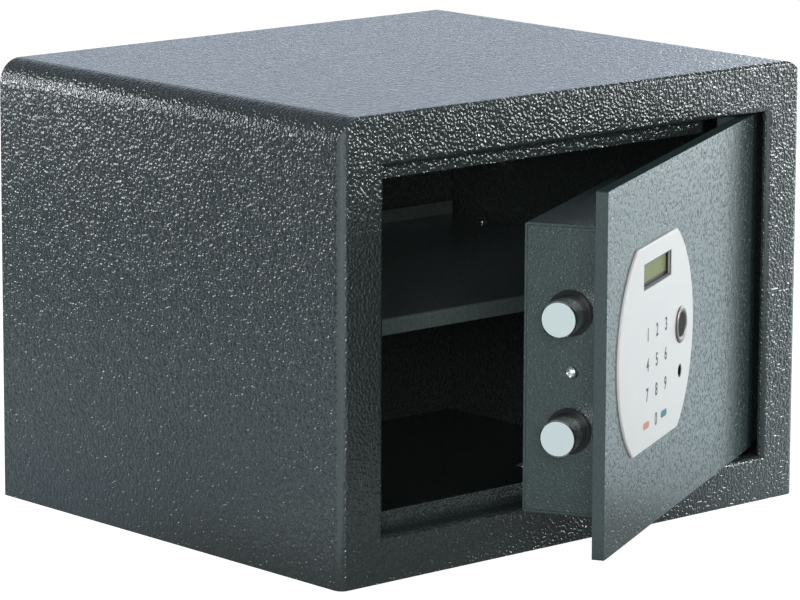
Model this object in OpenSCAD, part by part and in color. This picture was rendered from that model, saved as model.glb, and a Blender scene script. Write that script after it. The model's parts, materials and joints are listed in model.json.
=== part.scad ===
// Small electronic safe deposit box with a motor driven two-bolt lock.
// The origin is the centre of the base. +X is to the right of someone who faces
// the door, -Y is the front and +Z is up. Everything on the door is drawn with
// the door shut, and door_pose() then swings it open about the hinge pins.

/* [Body] */
// Width of the body, left to right
body_w = 350; // [340:1:400]
// Depth of the body, front to back
body_d = 296; // [280:1:380]
// Height of the body
body_h = 255; // [250:1:300]
// Thickness of the folded body sheet
sheet = 2; // [1.5:0.1:2.5]
// Outer radius of the two long bends along the top
top_bend = 14; // [10:1:18]
// Outer radius of the upright edges of the front frame
side_bend = 5; // [3:0.5:6]

/* [Door opening] */
// Width of the frame border on the latch side
latch_border = 30.5; // [29:0.5:34]
// Width of the frame border on the hinge side
hinge_border = 27; // [26:0.5:30]
// Height of the frame border above the door
top_border = 28; // [26:0.5:32]
// Height of the frame border below the door
bottom_border = 26; // [25:0.5:30]
// Radius of the frame's rounded edge round the opening
edge_round = 3; // [2.5:0.1:3.5]
// Depth of the folded return behind that edge
return_depth = 9.3; // [8.5:0.1:9.6]
// How far the door stop stands into the opening, above and below
stop_proud = 9.4; // [8:0.1:10]

/* [Door] */
// How far the door stands open, in degrees
door_open = 28.5; // [0:0.5:90]
// Thickness of the door plate
plate_t = 6.7; // [5:0.1:7]
// How far the shut door sits behind the face of the frame
door_recess = 5; // [4.5:0.1:5.5]
// Gap between the door plate and the frame on the latch side
latch_gap = 1.5; // [1.2:0.1:2]
// Gap between the door plate and the frame on the hinge side
hinge_gap = 2; // [1.8:0.1:2.4]
// Gap above the door plate
top_gap = 1.5; // [1.2:0.1:3]
// Gap below the door plate
bottom_gap = 4; // [3.5:0.1:6]
// Diameter of the hinge pins
pin_d = 6; // [5:0.5:6]

/* [Lock] */
// Diameter of the locking bolts
bolt_d = 20; // [16:1:20]
// Height between the two locking bolts
bolt_pitch = 63.5; // [58:0.5:70]
// How far the bolts stand out of the case when drawn back
bolt_stub = 20; // [16:1:20]
// How far the bolts are driven out when the lock is thrown, in mm
bolt_travel = 22; // [20:1:24]
// How far the bolts are driven out in this pose
bolt_thrown = 0; // [0:1:20]
// Width of the lock case
case_w = 150; // [146:1:156]
// Height of the lock case
case_h = 156; // [152:0.5:158]
// Depth of the lock case behind the door plate
case_d = 48; // [46:0.5:50]
// Distance from the door plate's free edge to the lock case
case_inset = 30; // [29:0.5:32]
// Number of teeth on the drive pinion
pinion_teeth = 18; // [18:1:18]

/* [Keypad panel] */
// Height of the white keypad panel
panel_h = 111; // [100:1:116]
// Width of the keypad panel at its widest
panel_w = 139; // [130:1:142]
// Thickness of the keypad panel in front of the plate
panel_t = 1.2; // [1.2:0.1:2]
// Width of the display window
window_w = 52; // [44:1:54]
// Height of the display window
window_h = 14.2; // [12:0.1:16]
// Outer diameter of the round reader
reader_d = 20.5; // [16:0.5:22]

/* [Shelf] */
// Height of the shelf's upper face above the base
shelf_z = 127.5; // [115:0.5:140]
// Distance from the front of the body to the shelf's front lip
shelf_setback = 64; // [62:1:90]
// Height of the shelf's front lip
shelf_lip = 9; // [6:0.5:14]

/* [Hidden] */
$fn = 96;
eps = 0.01;

// Planes and edges of the body
front_y = -body_d / 2;
back_y = body_d / 2;
right_x = body_w / 2;
frame_depth = side_bend;
seam = 0.1;
open_left = -right_x + latch_border;
open_right = right_x - hinge_border;
open_bottom = bottom_border;
open_top = body_h - top_border;
hinge_return = 4;
stop_bend = 4;
stop_end_x = open_right - 40;
anchor_d = 10;
anchor_pitch = 200;
wall_anchor_z = 190;

// The door plate and its hinge line
plate_front = front_y + door_recess;
plate_back = plate_front + plate_t;
plate_left = open_left + latch_gap;
plate_right = open_right - hinge_gap;
plate_bottom = open_bottom + bottom_gap;
plate_top = open_top - top_gap;
plate_corner = 0.6;
pin_y = plate_back + 3.7;
pin_x = open_right - 0.3 - (pin_y - plate_front);
pin_r = pin_d / 2;
running = 0.05;
lug_t = 4;
knuckle_h = 6;

shelf_screw_y = [front_y + shelf_setback + 30, back_y - 40];

// The lock case, whose middle lies a little above that of the bolts
lock_z = 122.6;
case_rise = 0.8;
case_left = plate_left + case_inset;
case_right = case_left + case_w;
case_bottom = lock_z + case_rise - case_h / 2;
case_top = case_bottom + case_h;
case_back = plate_back + case_d;
case_sheet = 1.2;
bolt_y = plate_front + 29.4;
screw_y = plate_front + 28.2;
bolt_len = 72;
bolt_z = [lock_z - bolt_pitch / 2, lock_z + bolt_pitch / 2];
bush_flange_d = bolt_d + 4.6;
bush_flange_t = 1.5;
bush_len = 12;
tip_x = case_left - bolt_stub;
carriage_x = tip_x + bolt_len;
carriage_t = 3;

// The rack and pinion, with teeth of module 1
gear_module = 1;
pressure = 20;
pitch_r = pinion_teeth * gear_module / 2;
backlash = 0.16;
rack_pitch_y = bolt_y + 2.5;
rack_z0 = lock_z - 4;
rack_z1 = lock_z + 4;
rack_back = 5.5;
rack_len = 62;
pinion_x = carriage_x + carriage_t + 34;
pinion_y = rack_pitch_y + pitch_r;
gearbox_z0 = rack_z1 + 2;
gearbox_h = 16;
shaft_r = 2;
motor_h = 26;
motor_d = 20;

// The keypad panel, centred on a point of the plate
panel_x = plate_left + 88.2;
panel_z = 129;
panel_top = panel_z + 57;
panel_bottom = panel_top - panel_h;
panel_r = 66;
panel_front = plate_front - panel_t;
panel_round = 0.5;
boss_r = 3;
lens_y = plate_front + 1.6;
lens_t = 1.3;
window_z = 169.3;
well_w = 58;
well_z0 = 87;
well_z1 = 181;
reader_x = panel_x + 44.9;
reader_z = 131.3;
jack_x = reader_x;
jack_z = 105.5;
jack_d = 7.6;

// Inner pieces of the lock case
tray_x0 = case_right - 63;
tray_z0 = case_bottom + 3;
cell_d = 14.2;
cell_len = 50;
tray_w = 57;
tray_h = 4 * 15 + 3;
cover_x0 = tray_x0 - 2;
cover_z0 = tray_z0 + 1;
reset_x = case_right - 18;
reset_z = case_top - 26;
reset_travel = 1.2;
board_x0 = case_right - 45;
board_z0 = case_top - 58;
board_y = case_back - case_sheet - 12;
cable_z = well_z1 - 12;
paint = [0.24, 0.28, 0.30];
paint_light = [0.55, 0.60, 0.62];
steel = [0.72, 0.74, 0.75];
black = [0.10, 0.10, 0.11];

// ---------------------------------------------------------------- helpers

// A profile in Y and Z, carried along X
module along_x(x0, x1) {
    translate([x0, 0, 0])
        rotate([90, 0, 90])
            linear_extrude(x1 - x0)
                children();
}

// A profile in X and Z, carried along Y
module along_y(y0, y1) {
    translate([0, y1, 0])
        rotate([90, 0, 0])
            linear_extrude(y1 - y0)
                children();
}

// A profile in X and Y, carried along Z
module along_z(z0, z1) {
    translate([0, 0, z0])
        linear_extrude(z1 - z0)
            children();
}

// A round bar along Y between two depths
module rod_y(x, z, r, y0, y1) {
    translate([x, y0, z])
        rotate([-90, 0, 0])
            cylinder(r = r, h = y1 - y0);
}

// A round bar along X between two widths
module rod_x(y, z, r, x0, x1) {
    translate([x0, y, z])
        rotate([0, 90, 0])
            cylinder(r = r, h = x1 - x0);
}

module box(x0, x1, y0, y1, z0, z1) {
    translate([x0, y0, z0])
        cube([x1 - x0, y1 - y0, z1 - z0]);
}

module rect(x0, x1, y0, y1) {
    translate([x0, y0])
        square([x1 - x0, y1 - y0]);
}

// A rectangle whose four corners have radius r
module round_rect(x0, x1, y0, y1, r) {
    rect(x0 + r, x1 - r, y0, y1);
    rect(x0, x1, y0 + r, y1 - r);
    for (x = [x0 + r, x1 - r])
        for (y = [y0 + r, y1 - r])
            translate([x, y])
                circle(r);
}

// A rectangle from z = 0 up, with radius r at its two upper corners
module arch_rect(x0, x1, y1, r) {
    rect(x0, x1, 0, y1 - r);
    rect(x0 + r, x1 - r, 0, y1);
    for (x = [x0 + r, x1 - r])
        translate([x, y1 - r])
            circle(r);
}

// Swings what is drawn on the shut door about the hinge pins
module door_pose() {
    translate([pin_x, pin_y, 0])
        rotate([0, 0, door_open])
            translate([-pin_x, -pin_y, 0])
                children();
}

// What rides on the bolts, driven out by bolt_thrown
module bolt_pose() {
    door_pose()
        translate([-bolt_thrown, 0, 0])
            children();
}

// A pan head screw along +Z, its head's underside at z = 0, with a cross recess
module pan_screw(head_d, head_h, shank_d, shank_len) {
    difference() {
        union() {
            rotate_extrude()
                intersection() {
                    translate([0, -head_d * 0.62 + head_h])
                        circle(head_d * 0.62);
                    rect(0, head_d / 2, 0, head_h);
                }
            translate([0, 0, -shank_len])
                cylinder(d = shank_d, h = shank_len + eps);
        }
        for (a = [0, 90])
            rotate([0, 0, a])
                translate([-head_d * 0.28, -0.5, head_h * 0.42])
                    cube([head_d * 0.56, 1, head_h]);
    }
}

// ---------------------------------------------------------------- body

// The wrapper: both sides and the top, folded from one sheet
module body_shell() {
    color(paint)
        along_y(front_y + frame_depth + seam, back_y)
            difference() {
                arch_rect(-right_x, right_x, body_h, top_bend);
                arch_rect(-right_x + sheet, right_x - sheet, body_h - sheet, top_bend - sheet);
            }
}

module anchor_holes() {
    for (side = [-1, 1])
        translate([side * anchor_pitch / 2, 0])
            circle(anchor_d / 2);
}

module floor_panel() {
    color(paint)
        along_z(0, sheet)
            difference() {
                rect(-right_x + sheet, right_x - sheet, front_y + sheet, back_y - sheet);
                anchor_holes();
            }
}

module rear_panel() {
    color(paint)
        along_y(back_y - sheet, back_y)
            difference() {
                arch_rect(-right_x + sheet, right_x - sheet, body_h - sheet, top_bend - sheet);
                translate([0, wall_anchor_z])
                    anchor_holes();
            }
}

// The outside of the front frame, inset by t on every side
module frame_block(t) {
    r_side = max(side_bend - t, 0.1);
    intersection() {
        along_y(front_y + t, front_y + frame_depth + t)
            arch_rect(-right_x + t, right_x - t, body_h - t, top_bend - t);
        along_z(-t - eps, body_h)
            round_rect(-right_x + t, right_x - t, front_y + t, 0, r_side);
        along_x(-right_x, right_x)
            round_rect(front_y + t, 0, -20, body_h - t, max(2.2 - t, 0.2));
    }
}

// Outline of the opening seen along one axis, wider by the edge's roundness in front
module opening_profile(low, high) {
    rect(front_y + edge_round - eps, front_y + 30, low, high);
    difference() {
        rect(front_y - 1, front_y + edge_round, low - edge_round, high + edge_round);
        for (at = [low - edge_round, high + edge_round])
            translate([front_y + edge_round, at])
                circle(edge_round);
    }
}

// What the opening takes out of the face sheet and its folded return
module opening_cut() {
    intersection() {
        along_x(-right_x, right_x)
            opening_profile(open_bottom, open_top);
        along_z(0, body_h)
            mirror([1, -1])
                opening_profile(open_left, open_right);
    }
}

// Section of the door stop: a cove that climbs from the return, and its flange
module stop_section(proud) {
    intersection() {
        translate([return_depth + 0.1, stop_bend])
            difference() {
                circle(stop_bend + sheet);
                circle(stop_bend);
            }
        rect(return_depth + 0.1, 40, -sheet, stop_bend);
    }
    rect(stop_face(), stop_face() + sheet, stop_bend, proud);
}

function stop_face() = return_depth + 0.1 + stop_bend;

// Carries a section along the bottom, top, latch or hinge edge of the opening
module bottom_edge(x0, x1) {
    translate([0, front_y, open_bottom])
        along_x(x0, x1)
            children();
}

module top_edge(x0, x1) {
    translate([0, front_y, open_top])
        mirror([0, 0, 1])
            along_x(x0, x1)
                children();
}

module latch_edge(z0, z1) {
    translate([open_left, front_y, z0])
        rotate([0, 0, 90])
            mirror([0, 1, 0])
                linear_extrude(z1 - z0)
                    children();
}

// The frame's rim that laps inside the wrapper, behind the seam
module frame_lap() {
    along_y(front_y + sheet - eps, front_y + return_depth - 0.3)
        difference() {
            arch_rect(-right_x + sheet, right_x - sheet, body_h - sheet, top_bend - sheet);
            arch_rect(-right_x + 2 * sheet, right_x - 2 * sheet, body_h - 2 * sheet, top_bend - 2 * sheet);
        }
}

// The face of the safe, with its rounded opening and the return behind it
module front_frame() {
    b = open_bottom;
    t = open_top;
    y = front_y + 1;
    color(paint)
        difference() {
            union() {
                difference() {
                    union() {
                        difference() {
                            frame_block(0);
                            frame_block(sheet);
                        }
                        frame_lap();
                    }
                    box(-right_x + sheet, right_x - sheet, front_y + sheet, 0, -1, sheet);
                }
                box(open_left - edge_round, open_right + edge_round, y, front_y + edge_round,
                    b - edge_round, t + edge_round);
                box(open_left - sheet, open_right + sheet, y, front_y + hinge_return,
                    b - sheet, t + sheet);
                box(open_left - sheet, open_right, y, front_y + return_depth, b - sheet, t + sheet);
            }
            opening_cut();
        }
}

// The rebate that the shut door rests against, above, below and at the latch
module door_stop() {
    latch_proud = stop_proud - 0.9;
    color(paint)
        union() {
            bottom_edge(open_left, stop_end_x)
                stop_section(stop_proud);
            top_edge(open_left, stop_end_x)
                stop_section(stop_proud);
            latch_edge(open_bottom, open_top)
                stop_section(latch_proud);
        }
}

// The thick plate that the thrown bolts bear against
module strike_plate() {
    y0 = bolt_y - bolt_d / 2 - 4;
    inner_x = open_left + 7.5;
    color(paint)
        along_z(bolt_z[0] - 17, bolt_z[1] + 17)
            union() {
                rect(-right_x + sheet, inner_x, y0, y0 + 3);
                rect(-right_x + sheet, -right_x + sheet + 3, y0, y0 + 32);
            }
}

// ---------------------------------------------------------------- hinge

module hinge_lug(z0) {
    color(paint)
        along_z(z0, z0 + lug_t)
            difference() {
                union() {
                    rect(stop_end_x + 4, right_x - sheet, front_y + return_depth, pin_y + 9);
                    rect(right_x - sheet - 14, right_x - sheet, front_y + return_depth, pin_y + 24);
                }
                translate([pin_x, pin_y])
                    circle(pin_r + 0.02);
            }
}

module hinge_lug_top() {
    hinge_lug(open_top);
}

module hinge_lug_bottom() {
    hinge_lug(open_bottom - lug_t);
}

// One headed pin, drawn upwards from the underside of its head
module hinge_pin() {
    cylinder(r = pin_r, h = lug_t + bottom_gap + knuckle_h + 2);
    translate([0, 0, -3])
        cylinder(d = pin_d + 5, h = 3);
    translate([0, 0, lug_t + bottom_gap + knuckle_h + 2 - eps])
        cylinder(r1 = pin_r, r2 = pin_r - 1, h = 1);
}

module hinge_pins() {
    color(steel) {
        translate([pin_x, pin_y, open_bottom - lug_t])
            hinge_pin();
        translate([pin_x, pin_y, open_top + lug_t])
            mirror([0, 0, 1])
                hinge_pin();
    }
}

module hinge_washer(h) {
    difference() {
        cylinder(r = pin_r + 3.4, h = h);
        translate([0, 0, -1])
            cylinder(r = pin_r + 0.1, h = h + 2);
    }
}

module hinge_washers() {
    slack = 0.2;
    color(steel) {
        translate([pin_x, pin_y, open_bottom])
            hinge_washer(bottom_gap - slack);
        translate([pin_x, pin_y, plate_top + slack])
            hinge_washer(top_gap - slack);
    }
}

// The knuckle on the back of the door plate
module door_knuckle(z0) {
    door_pose()
        color(paint)
            along_z(z0, z0 + knuckle_h)
                difference() {
                    intersection() {
                        union() {
                            rect(pin_x - 13, pin_x, plate_back, pin_y + 7.3);
                            translate([pin_x, pin_y])
                                circle(7.3);
                            rect(pin_x, pin_x + 7.3, plate_back, pin_y);
                        }
                        rect(0, right_x, plate_back, 0);
                    }
                    translate([pin_x, pin_y])
                        circle(pin_r + running);
                }
}

module door_knuckle_top() {
    door_knuckle(plate_top - knuckle_h);
}

module door_knuckle_bottom() {
    door_knuckle(plate_bottom);
}

// ---------------------------------------------------------------- shelf

module shelf_screw_holes() {
    for (x = [-right_x + 11, right_x - 11])
        for (y = shelf_screw_y)
            translate([x, y, shelf_z - 6])
                cylinder(r = 1.85, h = 8);
}

module shelf() {
    t = 1.2;
    y0 = front_y + shelf_setback;
    bend = 2;
    color(paint)
        difference() {
            along_x(-right_x + 5, right_x - 5)
                union() {
                    rect(y0 + bend, back_y - 5, shelf_z - t, shelf_z);
                    rect(y0, y0 + t, shelf_z - shelf_lip, shelf_z - bend);
                    intersection() {
                        translate([y0 + bend, shelf_z - bend])
                            difference() {
                                circle(bend);
                                circle(bend - t);
                            }
                        rect(y0, y0 + bend, shelf_z - bend, shelf_z);
                    }
                    rect(y0, y0 + 8, shelf_z - shelf_lip, shelf_z - shelf_lip + t);
                    rect(back_y - 5 - t, back_y - 5, shelf_z - t, shelf_z + 8);
                }
            shelf_screw_holes();
        }
}

module shelf_rail() {
    t = 1.5;
    z1 = shelf_z - 1.2;
    difference() {
        along_y(front_y + shelf_setback + 9, back_y - 12)
            union() {
                rect(-right_x + sheet, -right_x + sheet + 14, z1 - t, z1);
                rect(-right_x + sheet, -right_x + sheet + t, z1 - 16, z1);
            }
        shelf_screw_holes();
    }
}

module shelf_rail_left() {
    color(paint)
        shelf_rail();
}

module shelf_rail_right() {
    color(paint)
        mirror([1, 0, 0])
            shelf_rail();
}

module shelf_screws() {
    color(steel)
        for (x = [-right_x + 11, right_x - 11])
            for (y = shelf_screw_y)
                translate([x, y, shelf_z])
                    pan_screw(7, 2.2, 3.6, 4);
}

// ---------------------------------------------------------------- door

panel_screw_at = [[-40, 40], [38, 48], [-40, -36], [38, -47]];

module door_plate() {
    door_pose()
        color(paint_light)
            difference() {
                along_y(plate_front, plate_back)
                    round_rect(plate_left, plate_right, plate_bottom, plate_top, plate_corner);
                along_y(plate_front - 1, plate_back + 1)
                    round_rect(panel_x - well_w / 2, panel_x + well_w / 2, well_z0, well_z1, 3);
                rod_y(reader_x, reader_z, reader_d / 2 - 2.5, plate_front - 1, plate_back + 1);
                rod_y(jack_x, jack_z, jack_d / 2 + 1, plate_front - 1, plate_back + 1);
                for (p = panel_screw_at) {
                    rod_y(panel_x + p[0], panel_z + p[1], boss_r + 0.15, plate_front - 1, plate_back - 2);
                    rod_y(panel_x + p[0], panel_z + p[1], 1.8, plate_front, plate_back + 1);
                }
            }
}

// The two ends of the lock case and the flanges that are welded to the plate
module lock_case() {
    y1 = case_back - case_sheet - 0.2;
    z0 = case_bottom + case_sheet + 0.2;
    z1 = case_top - case_sheet - 0.2;
    door_pose()
        color(paint)
            difference() {
                union() {
                    box(case_left, case_left + case_sheet, plate_back, y1, z0, z1);
                    box(case_right - case_sheet, case_right, plate_back, y1, z0, z1);
                    box(case_left, case_left + 12, plate_back, plate_back + case_sheet, z0, z1);
                    box(case_right - 12, case_right, plate_back, plate_back + case_sheet, z0, z1);
                }
                for (z = bolt_z)
                    rod_x(bolt_y, z, bolt_d / 2 + 1, case_left - 1, case_left + 3);
                for (x = [case_left, case_right])
                    rod_x(screw_y, lock_z, 2, x - 3, x + 3);
            }
}

// The top, back and bottom of the case in one folded sheet, with a tab at each end
module case_cover() {
    bend = 1.5;
    door_pose()
        color(paint)
            difference() {
                union() {
                    along_x(case_left, case_right)
                        difference() {
                            round_rect(plate_back - 5, case_back, case_bottom, case_top, bend);
                            round_rect(plate_back - 6, case_back - case_sheet, case_bottom + case_sheet,
                                       case_top - case_sheet, bend - case_sheet);
                            rect(plate_back - 8, plate_back, 0, body_h);
                        }
                    for (x = [case_left + case_sheet, case_right - 2 * case_sheet])
                        box(x, x + case_sheet, screw_y - 6, case_back - eps, lock_z - 8, lock_z + 8);
                }
                for (x = [case_left, case_right])
                    rod_x(screw_y, lock_z, 1.6, x - 3, x + 3);
                box(cover_x0 + 3, cover_x0 + tray_w - 1, case_back - 2, case_back + 1,
                    cover_z0 + 3, cover_z0 + tray_h - 7);
                rod_y(reset_x, reset_z, 3.2, case_back - 2, case_back + 1);
                rod_y(cover_x0 + tray_w / 2, cover_z0 + tray_h + 1.5, 1.5, case_back - 2, case_back + 1);
            }
}

module case_screws() {
    door_pose()
        color(steel)
            for (side = [-1, 1])
                translate([side < 0 ? case_left : case_right, screw_y, lock_z])
                    rotate([0, side * 90, 0])
                        pan_screw(7.6, 2.4, 3, 5);
}

module battery_cover() {
    door_pose()
        color(paint)
            difference() {
                union() {
                    along_y(case_back, case_back + 1.2)
                        round_rect(cover_x0, cover_x0 + tray_w + 2, cover_z0, cover_z0 + tray_h + 5, 2);
                    box(cover_x0 + 5, cover_x0 + tray_w - 3, case_back - 2, case_back + eps,
                        cover_z0 + 3.2, cover_z0 + 4.4);
                }
                rod_y(cover_x0 + tray_w / 2, cover_z0 + tray_h + 1.5, 1.7, case_back - 1, case_back + 3);
            }
}

module battery_cover_screw() {
    door_pose()
        color(steel)
            translate([cover_x0 + tray_w / 2, case_back + 1.2, cover_z0 + tray_h + 1.5])
                rotate([-90, 0, 0])
                    pan_screw(6, 2, 2.8, 4);
}

// The open tray for four cells, its mouth towards the battery cover
module battery_tray() {
    y0 = case_back - case_sheet - 17;
    door_pose()
        color(black)
            difference() {
                box(tray_x0, tray_x0 + tray_w, y0, case_back - case_sheet - 0.2, tray_z0, tray_z0 + tray_h);
                box(tray_x0 + 1.5, tray_x0 + tray_w - 1.5, y0 + 1.5, case_back, tray_z0 + 1.5,
                    tray_z0 + tray_h - 1.5);
            }
}

module battery_cells() {
    door_pose()
        color([0.35, 0.40, 0.62])
            for (i = [0:3])
                translate([tray_x0 + 3, case_back - case_sheet - 8, tray_z0 + 1.5 + 15 * i + 7.5])
                    rotate([0, 90, 0]) {
                        cylinder(d = cell_d, h = cell_len);
                        translate([0, 0, cell_len - eps])
                            cylinder(d = 5, h = 1);
                    }
}

// The small button that puts the lock in its learning mode
module reset_button() {
    door_pose()
        color([0.7, 0.1, 0.1]) {
            rod_y(reset_x, reset_z, 3, case_back - case_sheet - 1.4, case_back + 2.2);
            rod_y(reset_x, reset_z, 4.2, case_back - case_sheet - 1.4, case_back - case_sheet - 0.1);
            rod_y(reset_x, reset_z, 2, board_y + 6 + reset_travel + 0.1, case_back - case_sheet - 1);
        }
}

// ---------------------------------------------------------------- bolts

module bolt_bush(z) {
    door_pose()
        color(black)
            difference() {
                union() {
                    rod_x(bolt_y, z, bolt_d / 2 + 0.95, case_left - eps, case_left + bush_len);
                    rod_x(bolt_y, z, bush_flange_d / 2, case_left - bush_flange_t, case_left);
                    rod_x(bolt_y, z, bush_flange_d / 2, case_left + case_sheet, case_left + bush_len);
                }
                rod_x(bolt_y, z, bolt_d / 2 + 0.08, case_left - 3, case_left + bush_len + 2);
            }
}

module bolt_bush_upper() {
    bolt_bush(bolt_z[1]);
}

module bolt_bush_lower() {
    bolt_bush(bolt_z[0]);
}

// One turned bolt: a bevelled nose, the shank and a tapped hole at the back
module locking_bolt(z) {
    bevel = 0.8;
    bolt_pose()
        color([0.85, 0.87, 0.88])
            translate([tip_x, bolt_y, z])
                rotate([0, 90, 0])
                    rotate_extrude()
                        polygon([[0, 0], [bolt_d / 2 - bevel, 0], [bolt_d / 2, bevel],
                                 [bolt_d / 2, bolt_len - 0.6], [bolt_d / 2 - 0.6, bolt_len],
                                 [2.5, bolt_len], [2.5, bolt_len - 14], [0, bolt_len - 14]]);
}

module locking_bolt_upper() {
    locking_bolt(bolt_z[1]);
}

module locking_bolt_lower() {
    locking_bolt(bolt_z[0]);
}

// The upright bar that ties both bolts together
module bolt_carriage() {
    bolt_pose()
        color(steel)
            translate([carriage_x, bolt_y, 0])
                rotate([90, 0, 90])
                    linear_extrude(carriage_t)
                        difference() {
                            union() {
                                rect(-8, 8, bolt_z[0], bolt_z[1]);
                                for (z = bolt_z)
                                    translate([0, z])
                                        circle(8);
                            }
                            for (z = bolt_z)
                                translate([0, z])
                                    circle(2.6);
                            round_rect(-4, 4, lock_z + 10, bolt_z[1] - 8, 2);
                            round_rect(-4, 4, bolt_z[0] + 8, lock_z - 10, 2);
                        }
}

module bolt_screws() {
    bolt_pose()
        color(steel)
            for (z = bolt_z)
                translate([carriage_x + carriage_t, bolt_y, z])
                    rotate([0, 90, 0])
                        pan_screw(9, 2.8, 4.8, 14);
}

// ---------------------------------------------------------------- drive

function inv(a) = tan(a) * 180 / PI - a;
function roll_angle(r) = acos(min(1, base_r() / r));
function base_r() = pitch_r * cos(pressure);
function half_tooth(r) =
    (PI * gear_module / 2 - backlash) / 2 / pitch_r * 180 / PI + inv(pressure) - inv(roll_angle(r));
function polar(r, a) = [r * cos(a), r * sin(a)];

// One tooth, from its left root to its right root
function tooth(i) =
    let (
        mid = i * 360 / pinion_teeth,
        root_r = pitch_r - 1.25 * gear_module,
        tip_r = pitch_r + gear_module,
        steps = 4,
        low = max(root_r + 0.05, base_r() + 0.02)
    )
    concat(
        [polar(root_r, mid - half_tooth(low) - 0.5)],
        [for (k = [0:steps]) let (r = low + (tip_r - low) * k / steps) polar(r, mid - half_tooth(r))],
        [for (k = [steps:-1:0]) let (r = low + (tip_r - low) * k / steps) polar(r, mid + half_tooth(r))],
        [polar(root_r, mid + half_tooth(low) + 0.5)]
    );

// The pinion: a gap between two teeth faces the rack
module drive_pinion() {
    door_pose()
        color([0.80, 0.66, 0.30])
            translate([pinion_x, pinion_y, rack_z0 + 0.5])
                difference() {
                    union() {
                        rotate([0, 0, -90 + 180 / pinion_teeth])
                            linear_extrude(rack_z1 - rack_z0 - 1)
                                polygon([for (i = [0:pinion_teeth - 1]) each tooth(i)]);
                        translate([0, 0, -2.5])
                            cylinder(r = 5, h = 3);
                    }
                    translate([0, 0, -3])
                        cylinder(r = shaft_r + 0.02, h = 20);
                }
}

// The gearbox's turning shaft, with the pinion pressed on
module output_shaft() {
    door_pose()
        color(steel)
            translate([pinion_x, pinion_y, rack_z0 - 3])
                cylinder(r = shaft_r, h = gearbox_z0 - rack_z0 + 9);
}

// Outline of one rack tooth about x = 0, with its root line at y = 0
module rack_tooth() {
    half = PI * gear_module / 4 - backlash / 4;
    up = gear_module;
    down = 1.25 * gear_module;
    polygon([[-half - down * tan(pressure), 0], [-half + up * tan(pressure), up + down],
             [half - up * tan(pressure), up + down], [half + down * tan(pressure), 0]]);
}

// The toothed bar that the pinion pushes along
module carriage_rack() {
    x0 = carriage_x + carriage_t;
    root_y = rack_pitch_y - 1.25 * gear_module;
    pitch = PI * gear_module;
    first = -floor((pinion_x - x0 - 3) / pitch);
    last = floor((x0 + rack_len - pinion_x - 2) / pitch);
    bolt_pose()
        color(steel)
            union() {
                along_z(rack_z0, rack_z1)
                    union() {
                        rect(x0, x0 + rack_len, root_y - rack_back, root_y + eps);
                        for (i = [first:last])
                            translate([pinion_x + i * pitch, root_y])
                                rack_tooth();
                    }
                box(x0, x0 + 3, bolt_y - 7, bolt_y + 7, rack_z0, rack_z1);
            }
}

// The plastic channel that keeps the tail of the rack in line
module rack_guide() {
    root_y = rack_pitch_y - 1.25 * gear_module;
    x0 = pinion_x - 9;
    door_pose()
        color(black)
            difference() {
                box(x0, x0 + 18, plate_back, root_y - 0.4, rack_z0 - 4, rack_z1 + 4);
                box(x0 - 1, x0 + 19, root_y - rack_back - 0.3, root_y, rack_z0 - 0.3, rack_z1 + 0.3);
            }
}

module gearbox() {
    door_pose()
        color([0.82, 0.82, 0.80])
            difference() {
                union() {
                    translate([0, 0, gearbox_z0])
                        linear_extrude(gearbox_h)
                            round_rect(pinion_x - 12, pinion_x + 12, pinion_y - 10, pinion_y + 10, 3);
                    translate([pinion_x, pinion_y, gearbox_z0 - 1.6])
                        cylinder(r = 4.2, h = 1.7);
                }
                translate([pinion_x, pinion_y, gearbox_z0 - 2])
                    cylinder(r = shaft_r + running, h = 8.5);
            }
}

module motor() {
    z0 = gearbox_z0 + gearbox_h;
    door_pose()
        color(steel) {
            translate([pinion_x, pinion_y, z0]) {
                intersection() {
                    cylinder(d = motor_d, h = motor_h);
                    translate([-motor_d / 2, -7.6, 0])
                        cube([motor_d, 15.2, motor_h]);
                }
                translate([0, 0, motor_h - eps])
                    cylinder(d = 6.5, h = 2);
            }
        }
}

// The folded bracket that carries the gearbox from the door plate
module motor_bracket() {
    z0 = gearbox_z0 + gearbox_h;
    door_pose()
        color(steel)
            difference() {
                union() {
                    box(pinion_x - 13.5, pinion_x - 12, plate_back, pinion_y + 9, gearbox_z0 - 1, z0);
                    box(pinion_x + 12, pinion_x + 13.5, plate_back, pinion_y + 9, gearbox_z0 - 1, z0);
                    box(pinion_x - 13.5, pinion_x + 13.5, plate_back, plate_back + 1.5,
                        rack_z1 + 5, z0 + 10);
                }
                for (x = [pinion_x - 8, pinion_x + 8])
                    rod_y(x, z0 + 5, 1.6, plate_back - 1, plate_back + 3);
            }
}

// Two small switches that tell the board when the carriage has arrived
module limit_switches() {
    door_pose()
        color(black)
            for (x = [carriage_x + carriage_t + 0.8, carriage_x - bolt_travel - 8.4])
                box(x, x + 7.6, plate_back + 0.01, plate_back + 10.5, lock_z - 29, lock_z - 12);
}

module control_board() {
    y1 = board_y;
    x0 = board_x0;
    z0 = board_z0;
    door_pose() {
        color([0.10, 0.34, 0.18])
            difference() {
                box(x0, case_right - 4, y1 - 1.6, y1, z0, case_top - 5);
                for (x = [x0 + 4, case_right - 16])
                    for (z = [z0 + 4, case_top - 9])
                        rod_y(x, z, 1.7, y1 - 3, y1 + 1);
            }
        color(black) {
            box(x0 + 10, x0 + 24, y1 - eps, y1 + 1.6, z0 + 12, z0 + 22);
            box(x0 + 12, x0 + 30, y1 - 5, y1 - 1.6 + eps, z0 + 10, z0 + 16);
            box(x0 + 2, x0 + 8, y1 - 6.6, y1 - 1.6 + eps, cable_z - 7.5, cable_z + 7.5);
            rod_y(reset_x, reset_z, 3.4, y1 - eps, y1 + 6);
        }
    }
}

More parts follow.
